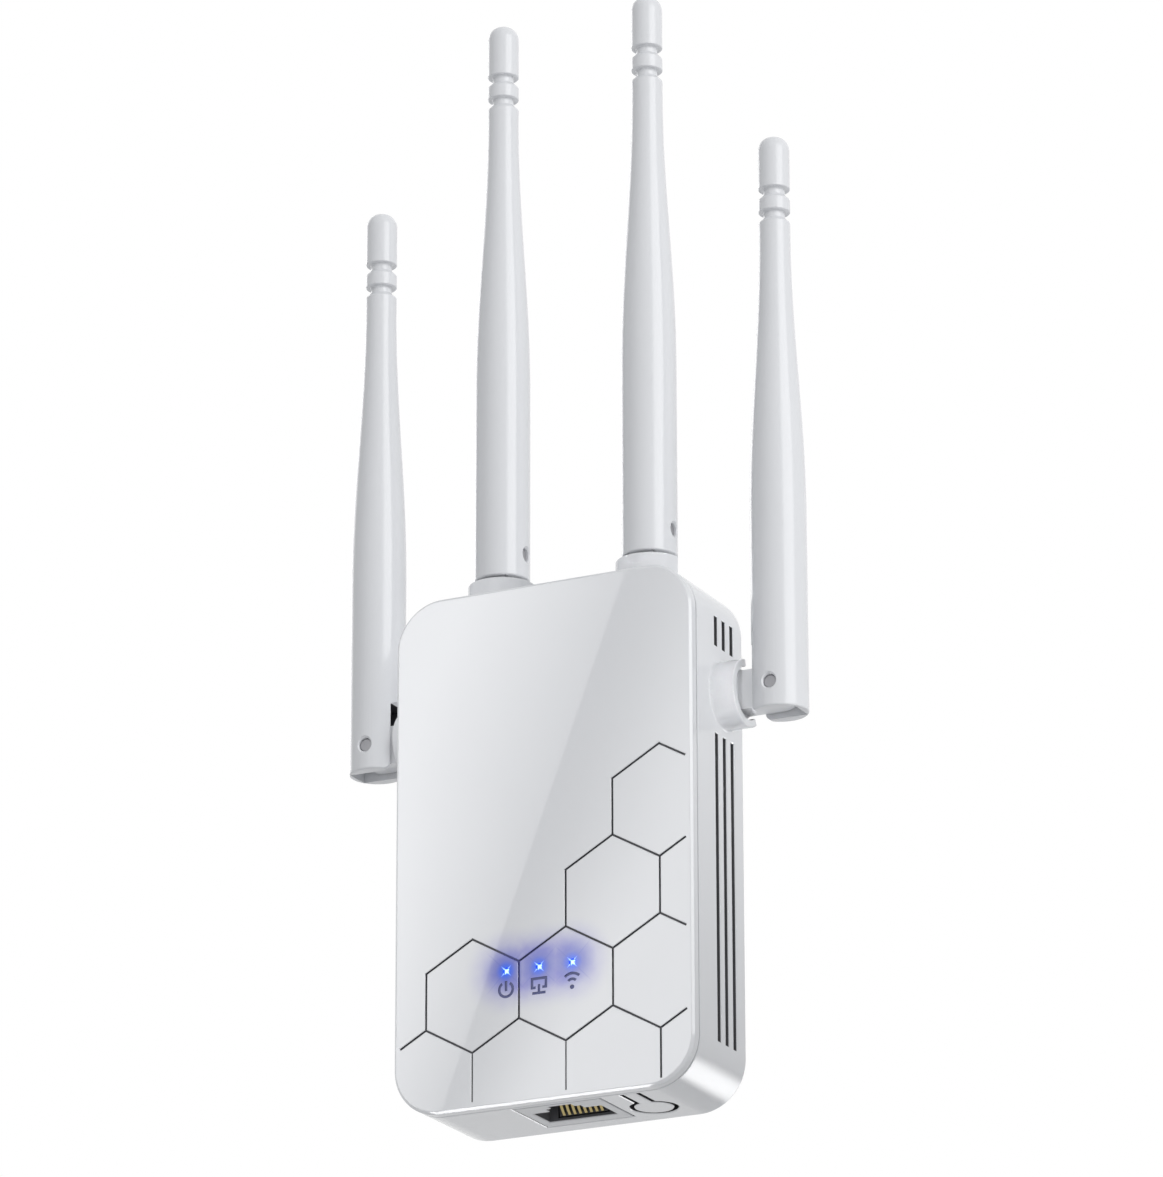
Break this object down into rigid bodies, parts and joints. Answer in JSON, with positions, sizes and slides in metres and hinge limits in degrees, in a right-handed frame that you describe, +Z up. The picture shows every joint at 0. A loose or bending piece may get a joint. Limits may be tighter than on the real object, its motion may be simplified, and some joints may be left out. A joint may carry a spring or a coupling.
{
  "type": "wifi range extender",
  "caption": "Upright white plug-in radio repeater: rounded vented case with network socket and reset button, and slim tapered antennas that swivel and fold on hinges.",
  "frame": {"origin": "on the back face, midway between the plug blades", "axes": "+Y into the wall along the blades, +Z up, +X to the right seen from the front"},
  "size_m": [0.0866, 0.0375, 0.2021],
  "materials": {
    "case_white": "glossy white moulded plastic",
    "antenna_white": "satin white moulded plastic",
    "jack_grey": "light grey moulded plastic",
    "contact_gold": "gold-plated contact springs",
    "blade_brass": "plain brass",
    "board_green": "green solder mask",
    "clear_guide": "clear moulded plastic",
    "blue_light": "blue light",
    "plain_steel": "plain steel",
    "tinned_steel": "tinned sheet steel",
    "part_black": "black moulding compound",
    "part_brown": "brown moulded plastic",
    "sleeve_blue": "dark shrink sleeve",
    "lead_black": "black cable jacket"
  },
  "bodies": {
    "case": {"front_cover": "case_white", "rear_housing": "case_white", "plug_blade_left": "blade_brass", "plug_blade_right": "blade_brass", "main_board": "board_green", "board_screw_left": "plain_steel", "board_screw_right": "plain_steel", "ethernet_jack": "jack_grey", "jack_contacts": "contact_gold", "light_guide": "clear_guide", "led_power": "blue_light", "led_network": "blue_light", "led_signal": "blue_light", "tact_switch": "part_black", "mains_transformer": "part_black", "bulk_capacitor": "sleeve_blue", "output_capacitor": "sleeve_blue", "bridge_rectifier": "part_black", "fuse": "part_brown", "radio_shield": "tinned_steel", "memory_chip": "part_black", "ethernet_transformer": "part_black", "antenna_lead_top_left": "lead_black", "antenna_lead_top_right": "lead_black", "antenna_lead_side_left": "lead_black", "antenna_lead_side_right": "lead_black"},
    "reset_button": {"reset_button": "case_white", "tact_plunger": "part_brown"},
    "swivel_top_left": {"swivel_base_top_left": "antenna_white", "retaining_clip_top_left": "tinned_steel"},
    "antenna_top_left": {"antenna_shell_top_left": "antenna_white", "hinge_pin_top_left": "plain_steel", "antenna_element_top_left": "blade_brass"},
    "swivel_top_right": {"swivel_base_top_right": "antenna_white", "retaining_clip_top_right": "tinned_steel"},
    "antenna_top_right": {"antenna_shell_top_right": "antenna_white", "hinge_pin_top_right": "plain_steel", "antenna_element_top_right": "blade_brass"},
    "swivel_side_left": {"swivel_base_side_left": "antenna_white", "retaining_clip_side_left": "tinned_steel"},
    "antenna_side_left": {"antenna_shell_side_left": "antenna_white", "hinge_pin_side_left": "plain_steel", "antenna_element_side_left": "blade_brass"},
    "swivel_side_right": {"swivel_base_side_right": "antenna_white", "retaining_clip_side_right": "tinned_steel"},
    "antenna_side_right": {"antenna_shell_side_right": "antenna_white", "hinge_pin_side_right": "plain_steel", "antenna_element_side_right": "blade_brass"}
  },
  "joints": [
    {"name": "swivel_top_left", "type": "hinge", "parent": "case", "child": "swivel_top_left", "pos_m": [-0.0142, -0.0077, 0.04135], "axis": [0, 0, 1], "range_deg": [-90, 90]},
    {"name": "tilt_top_left", "type": "hinge", "parent": "swivel_top_left", "child": "antenna_top_left", "pos_m": [-0.0142, -0.0077, 0.05185], "axis": [-1, 0, 0], "range_deg": [0, 90]},
    {"name": "swivel_top_right", "type": "hinge", "parent": "case", "child": "swivel_top_right", "pos_m": [0.0142, -0.0077, 0.04135], "axis": [0, 0, -1], "range_deg": [-90, 90]},
    {"name": "tilt_top_right", "type": "hinge", "parent": "swivel_top_right", "child": "antenna_top_right", "pos_m": [0.0142, -0.0077, 0.05185], "axis": [-1, 0, 0], "range_deg": [0, 90]},
    {"name": "swivel_side_left", "type": "hinge", "parent": "case", "child": "swivel_side_left", "pos_m": [-0.028, -0.0077, 0.0203], "axis": [-1, 0, 0], "range_deg": [-90, 90]},
    {"name": "tilt_side_left", "type": "hinge", "parent": "swivel_side_left", "child": "antenna_side_left", "pos_m": [-0.0385, -0.0077, 0.0203], "axis": [0, -1, 0], "range_deg": [0, 90]},
    {"name": "swivel_side_right", "type": "hinge", "parent": "case", "child": "swivel_side_right", "pos_m": [0.028, -0.0077, 0.0203], "axis": [1, 0, 0], "range_deg": [-90, 90]},
    {"name": "tilt_side_right", "type": "hinge", "parent": "swivel_side_right", "child": "antenna_side_right", "pos_m": [0.0385, -0.0077, 0.0203], "axis": [0, 1, 0], "range_deg": [0, 90]},
    {"name": "reset_press", "type": "hinge", "parent": "case", "child": "reset_button", "pos_m": [0.0146, -0.0172, -0.04665], "axis": [1, 0, 0], "range_deg": [0, 3.1], "stiffness_Nm_per_rad": 0.25}
  ]
}
